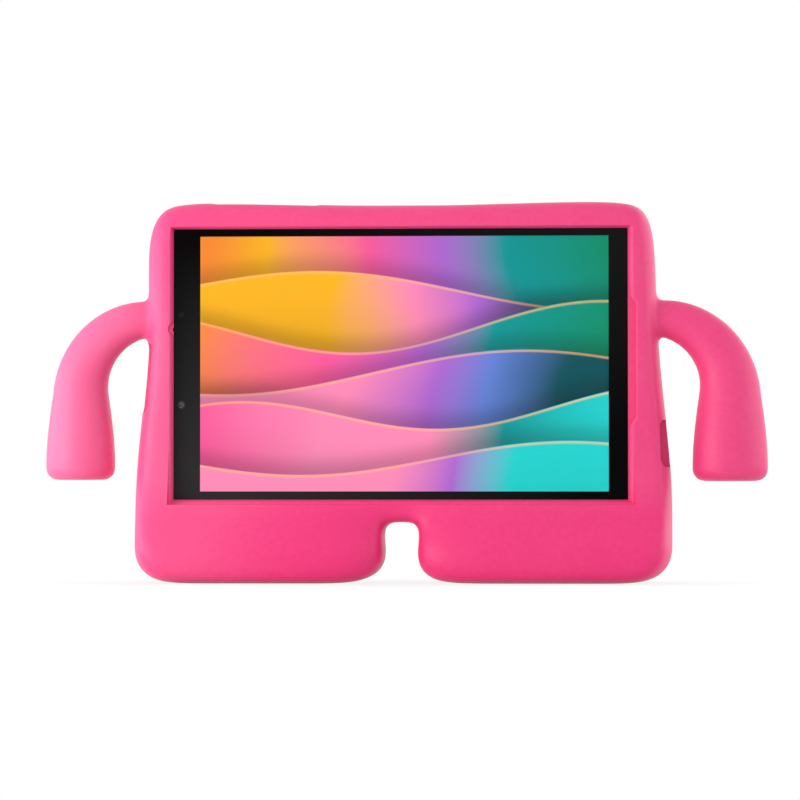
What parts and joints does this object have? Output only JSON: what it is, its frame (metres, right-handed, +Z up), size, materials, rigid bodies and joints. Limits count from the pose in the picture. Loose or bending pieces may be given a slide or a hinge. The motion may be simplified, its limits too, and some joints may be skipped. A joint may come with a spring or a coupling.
{
  "type": "kids tablet case",
  "caption": "Moulded foam kids tablet case on two thick feet with swept side arms, holding a landscape tablet behind a round lip.",
  "frame": {"origin": "centre of the bounding box's underside, on the floor between the two feet", "axes": "+X to the right of a person who faces the screen, -Y out of the screen, +Z up"},
  "size_m": [0.3052, 0.0558, 0.161],
  "materials": {
    "pink_foam": "satin moulded EVA foam",
    "cover_glass": "gloss, printed black border",
    "display": "lit picture",
    "shell": "satin",
    "keys": "satin",
    "mid_plate": "matte",
    "circuit_board": "satin",
    "shield_metal": "satin",
    "socket_metal": "satin",
    "screw_steel": "satin",
    "ribbon": "satin",
    "black_plastic": "matte",
    "battery_wrap": "satin",
    "lens_glass": "gloss"
  },
  "bodies": {
    "case": {"back_cover": "shell", "battery": "battery_wrap", "battery_lead": "ribbon", "board_link_ribbon": "ribbon", "board_screw_1": "screw_steel", "board_screw_2": "screw_steel", "board_screw_3": "screw_steel", "board_screw_4": "screw_steel", "board_screw_5": "screw_steel", "board_screw_6": "screw_steel", "charging_board": "circuit_board", "charging_socket": "socket_metal", "cover_glass": "cover_glass", "display_panel": "display", "display_ribbon": "ribbon", "foam_case": "pink_foam", "front_camera": "black_plastic", "headphone_jack": "black_plastic", "light_sensor": "black_plastic", "main_board": "circuit_board", "mid_frame": "mid_plate", "rear_camera": "black_plastic", "rear_camera_window": "lens_glass", "shield_can": "shield_metal", "side_key_board": "circuit_board", "speaker_camera_end": "black_plastic", "speaker_port_end": "black_plastic"},
    "power_button": {"power_button": "keys"},
    "volume_rocker": {"volume_rocker": "keys"}
  },
  "joints": [
    {"name": "power_press", "type": "slide", "parent": "case", "child": "power_button", "axis": [0, 0, -1], "range_m": [0, 0.0003], "stiffness_N_per_m": 2500},
    {"name": "volume_press", "type": "slide", "parent": "case", "child": "volume_rocker", "axis": [0, 0, -1], "range_m": [0, 0.0003], "stiffness_N_per_m": 2500}
  ]
}
